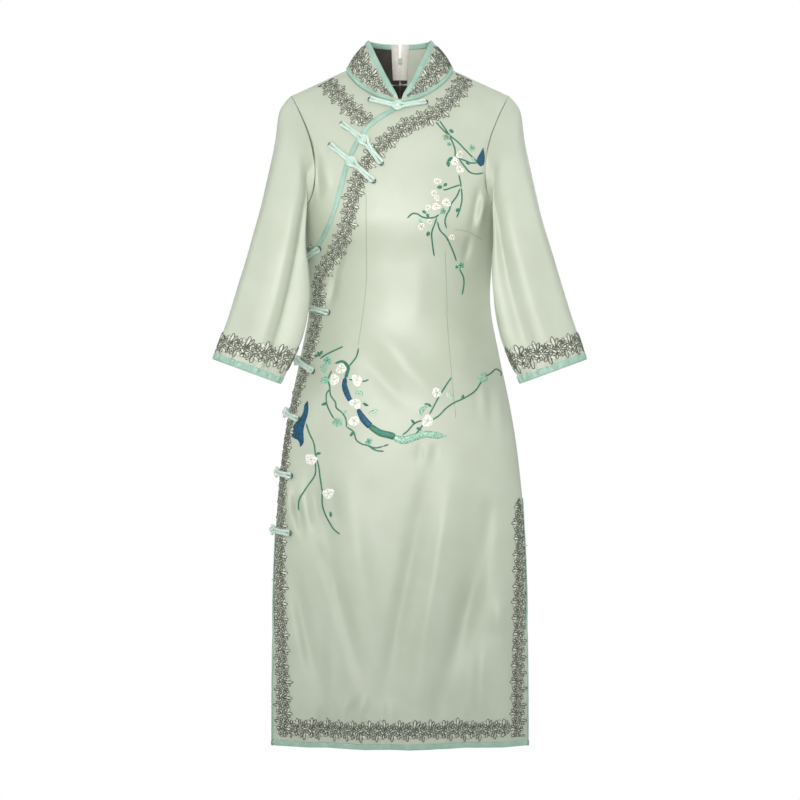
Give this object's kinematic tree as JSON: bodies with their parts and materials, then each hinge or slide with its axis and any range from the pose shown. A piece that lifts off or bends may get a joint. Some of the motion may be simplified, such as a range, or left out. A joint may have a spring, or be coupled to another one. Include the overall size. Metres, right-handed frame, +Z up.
{
  "type": "cheongsam dress",
  "caption": "Fitted knee-length cheongsam with stand collar, curved side lapel, frog fasteners, elbow sleeves, lace bands and side slits, hollow as worn.",
  "frame": {"origin": "between the two points where the shoulder seams meet the neck seam, where the wearer's shoulders carry the dress", "axes": "+Z up, the front faces -Y, +X towards the wearer's left"},
  "size_m": [0.624, 0.209, 1.1922],
  "materials": {
    "sage_satin": "heavy satin, soft sheen",
    "mint_satin": "bias-cut satin binding",
    "grey_green_lace": "corded guipure lace",
    "pale_mint_cord": "satin-covered cord",
    "ivory_zip_tape": "woven zip tape",
    "painted_zip_metal": "painted to match the cloth"
  },
  "bodies": {
    "dress": {"back_left": "sage_satin", "back_neck_lace_left": "grey_green_lace", "back_neck_lace_right": "grey_green_lace", "back_right": "sage_satin", "chest_lace": "grey_green_lace", "chest_panel": "sage_satin", "collar_binding_left": "mint_satin", "collar_binding_right": "mint_satin", "collar_lace_left": "grey_green_lace", "collar_lace_right": "grey_green_lace", "collar_left": "sage_satin", "collar_right": "sage_satin", "cuff_binding_left": "mint_satin", "cuff_binding_right": "mint_satin", "cuff_lace_left": "grey_green_lace", "cuff_lace_right": "grey_green_lace", "frog_chest_lower_knot": "pale_mint_cord", "frog_chest_lower_loop": "pale_mint_cord", "frog_chest_upper_knot": "pale_mint_cord", "frog_chest_upper_loop": "pale_mint_cord", "frog_hip_lower_knot": "pale_mint_cord", "frog_hip_lower_loop": "pale_mint_cord", "frog_hip_upper_knot": "pale_mint_cord", "frog_hip_upper_loop": "pale_mint_cord", "frog_neck_knot": "pale_mint_cord", "frog_neck_loop": "pale_mint_cord", "frog_slit_top_knot": "pale_mint_cord", "frog_slit_top_loop": "pale_mint_cord", "frog_underarm_knot": "pale_mint_cord", "frog_underarm_loop": "pale_mint_cord", "frog_waist_lower_knot": "pale_mint_cord", "frog_waist_lower_loop": "pale_mint_cord", "frog_waist_upper_knot": "pale_mint_cord", "frog_waist_upper_loop": "pale_mint_cord", "hem_binding_back_left": "mint_satin", "hem_binding_back_right": "mint_satin", "hem_binding_front": "mint_satin", "hem_lace": "grey_green_lace", "lapel_piping": "mint_satin", "main_front": "sage_satin", "main_lace": "grey_green_lace", "neck_piping_left": "mint_satin", "neck_piping_right": "mint_satin", "sleeve_left": "sage_satin", "sleeve_right": "sage_satin", "slit_binding_back_left": "mint_satin", "slit_binding_back_right": "mint_satin", "slit_binding_front_left": "mint_satin", "slit_binding_front_right": "mint_satin", "slit_lace_left": "grey_green_lace", "zip_slider": "painted_zip_metal", "zip_tape_left": "ivory_zip_tape", "zip_tape_right": "ivory_zip_tape"},
    "zip_pull": {"zip_pull_tab": "painted_zip_metal"}
  },
  "joints": [
    {"name": "zip_pull_hinge", "type": "hinge", "parent": "dress", "child": "zip_pull", "pos_m": [0, 0.05142, 0.01883], "axis": [1, 0, 0], "range_deg": [0, 150]}
  ]
}
